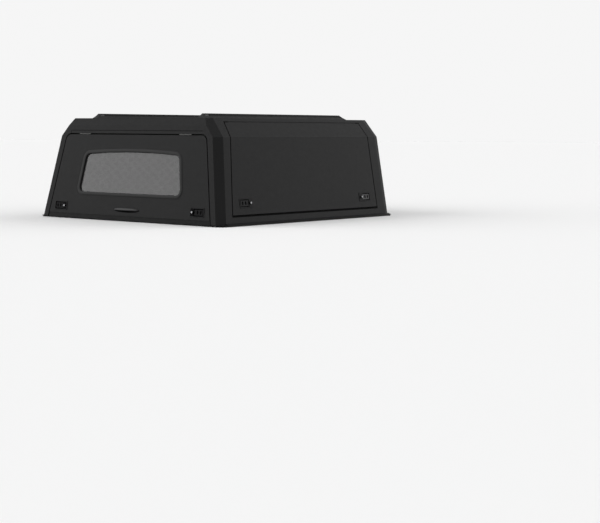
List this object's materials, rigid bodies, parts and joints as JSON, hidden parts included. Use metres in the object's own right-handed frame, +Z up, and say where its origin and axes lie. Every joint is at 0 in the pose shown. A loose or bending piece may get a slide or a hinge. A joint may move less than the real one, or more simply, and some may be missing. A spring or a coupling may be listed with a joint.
{
  "type": "pickup truck canopy",
  "caption": "Folded steel canopy shell for a pickup load box, with a lift-up glazed rear door, lift-up side doors with folding lock levers, and roof rails.",
  "frame": {"origin": "centre of the base, on the plane of the gasket's underside", "axes": "+Y forward towards the cab, +X to the right, +Z up"},
  "size_m": [1.606, 1.6709, 0.6605],
  "materials": {
    "black_steel": "satin textured powder coat",
    "hinge_steel": "zinc plated",
    "lock_black": "black satin",
    "grip_plastic": "black gloss",
    "black_rubber": "matt",
    "window_glass": "tinted"
  },
  "bodies": {
    "shell": {"roof_panel": "black_steel", "rear_header": "black_steel", "rear_pillar_right": "black_steel", "rear_pillar_left": "black_steel", "front_pillar_right": "black_steel", "front_pillar_left": "black_steel", "roof_side_rail_right": "black_steel", "roof_side_rail_left": "black_steel", "lower_side_rail_right": "black_steel", "lower_side_rail_left": "black_steel", "base_flange_right": "black_steel", "base_flange_left": "black_steel", "front_panel": "black_steel", "front_window_glass": "window_glass", "front_window_seal": "black_rubber", "base_gasket": "black_rubber", "side_opening_seal_right": "black_rubber", "side_opening_seal_left": "black_rubber", "rear_opening_seal": "black_rubber", "roof_rail_right": "black_steel", "roof_rail_left": "black_steel", "rear_hinge_leaves_fixed": "hinge_steel", "side_hinge_leaves_fixed": "black_steel"},
    "rear_door": {"rear_door_panel": "black_steel", "rear_door_lining": "black_steel", "rear_door_skirt": "black_steel", "rear_window_glass": "window_glass", "rear_window_seal": "black_rubber", "rear_hinge_leaves_moving": "hinge_steel", "rear_lock_cases": "lock_black", "rear_door_pull": "grip_plastic"},
    "side_door_right": {"side_door_panel_right": "black_steel", "side_door_lining_right": "black_steel", "side_hinge_leaf_moving_right": "black_steel", "side_lock_cases_right": "lock_black"},
    "side_door_left": {"side_door_panel_left": "black_steel", "side_door_lining_left": "black_steel", "side_hinge_leaf_moving_left": "black_steel", "side_lock_cases_left": "lock_black"},
    "rear_lever_right": {"rear_lever_right": "lock_black"},
    "rear_lever_left": {"rear_lever_left": "lock_black"},
    "side_rear_lever_right": {"side_rear_lever_right": "lock_black"},
    "side_front_lever_right": {"side_front_lever_right": "lock_black"},
    "side_rear_lever_left": {"side_rear_lever_left": "lock_black"},
    "side_front_lever_left": {"side_front_lever_left": "lock_black"}
  },
  "joints": [
    {"name": "rear_door_lift", "type": "hinge", "parent": "shell", "child": "rear_door", "pos_m": [0, -0.75004, 0.53304], "axis": [-1, 0, 0], "range_deg": [0, 85]},
    {"name": "side_door_right_lift", "type": "hinge", "parent": "shell", "child": "side_door_right", "pos_m": [0.6032, 0, 0.60769], "axis": [0, -1, 0], "range_deg": [0, 80]},
    {"name": "side_door_left_lift", "type": "hinge", "parent": "shell", "child": "side_door_left", "pos_m": [-0.6032, 0, 0.60769], "axis": [0, 1, 0], "range_deg": [0, 80]},
    {"name": "rear_lever_right_fold", "type": "hinge", "parent": "rear_door", "child": "rear_lever_right", "pos_m": [0.575, -0.81467, 0.0786], "axis": [0, -0.1483, -0.9889], "range_deg": [0, 60]},
    {"name": "rear_lever_left_fold", "type": "hinge", "parent": "rear_door", "child": "rear_lever_left", "pos_m": [-0.575, -0.81467, 0.0786], "axis": [0, 0.1483, 0.9889], "range_deg": [0, 60]},
    {"name": "side_rear_lever_right_fold", "type": "hinge", "parent": "side_door_right", "child": "side_rear_lever_right", "pos_m": [0.75199, -0.548, 0.13109], "axis": [-0.1834, 0, 0.983], "range_deg": [0, 60]},
    {"name": "side_front_lever_right_fold", "type": "hinge", "parent": "side_door_right", "child": "side_front_lever_right", "pos_m": [0.75199, 0.577, 0.13109], "axis": [0.1834, 0, -0.983], "range_deg": [0, 60]},
    {"name": "side_rear_lever_left_fold", "type": "hinge", "parent": "side_door_left", "child": "side_rear_lever_left", "pos_m": [-0.75199, -0.548, 0.13109], "axis": [-0.1834, 0, -0.983], "range_deg": [0, 60]},
    {"name": "side_front_lever_left_fold", "type": "hinge", "parent": "side_door_left", "child": "side_front_lever_left", "pos_m": [-0.75199, 0.577, 0.13109], "axis": [0.1834, 0, 0.983], "range_deg": [0, 60]}
  ]
}
